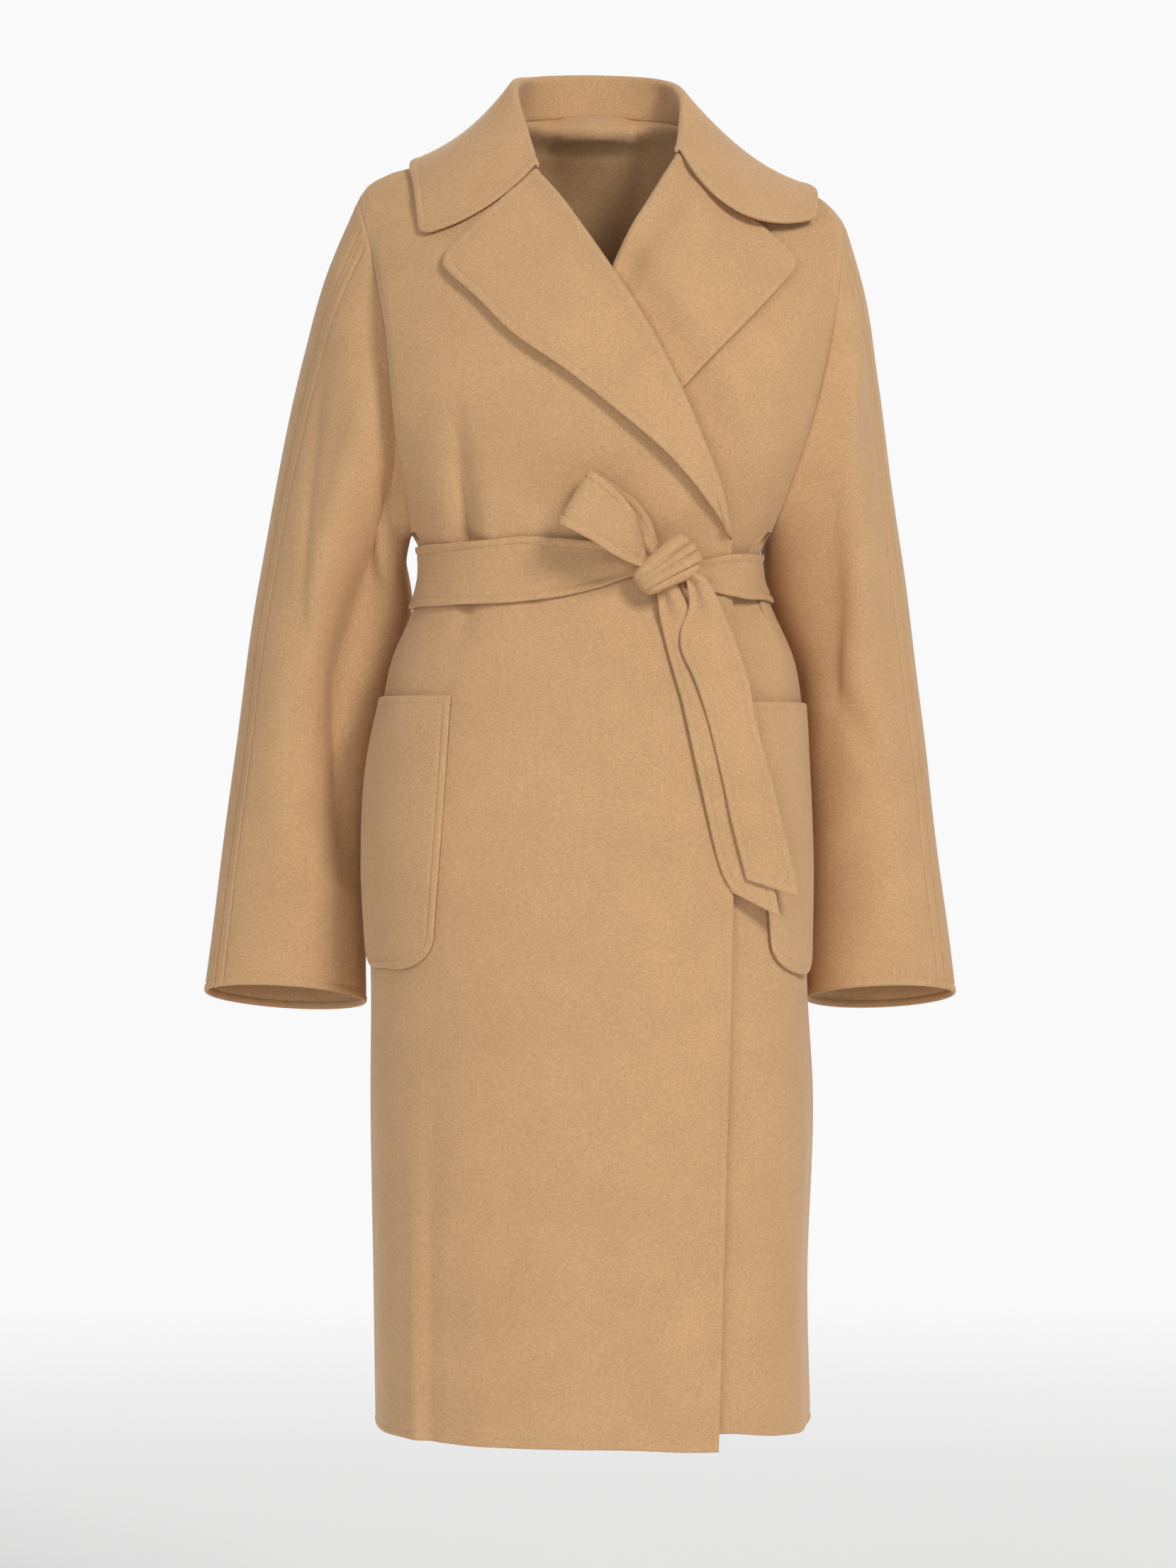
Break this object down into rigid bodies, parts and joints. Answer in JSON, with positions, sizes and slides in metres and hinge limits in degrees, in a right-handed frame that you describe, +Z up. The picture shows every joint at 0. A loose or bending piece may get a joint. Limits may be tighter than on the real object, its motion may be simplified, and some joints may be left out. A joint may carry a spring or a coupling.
{
  "type": "wrap coat",
  "caption": "Knee-length wool wrap coat, worn shape without its wearer, with wide lapels, patch pockets and a tied cloth belt.",
  "frame": {"origin": "inside the neck opening, level with the base of the neck, where the wearer's shoulders hold the coat up", "axes": "+Z up, -Y towards the coat's front, +X towards the wearer's left side"},
  "size_m": [0.6136, 0.3055, 1.0983],
  "materials": {
    "wool": "soft brushed nap, matt with a faint sheen"
  },
  "bodies": {
    "root": {"front_right": "wool", "front_left": "wool", "back": "wool", "sleeve_right": "wool", "sleeve_left": "wool", "collar": "wool", "pocket_right": "wool", "pocket_left": "wool", "belt_waist": "wool", "belt_knot": "wool", "belt_loop": "wool", "belt_tail_front": "wool", "belt_tail_back": "wool"}
  },
  "joints": []
}
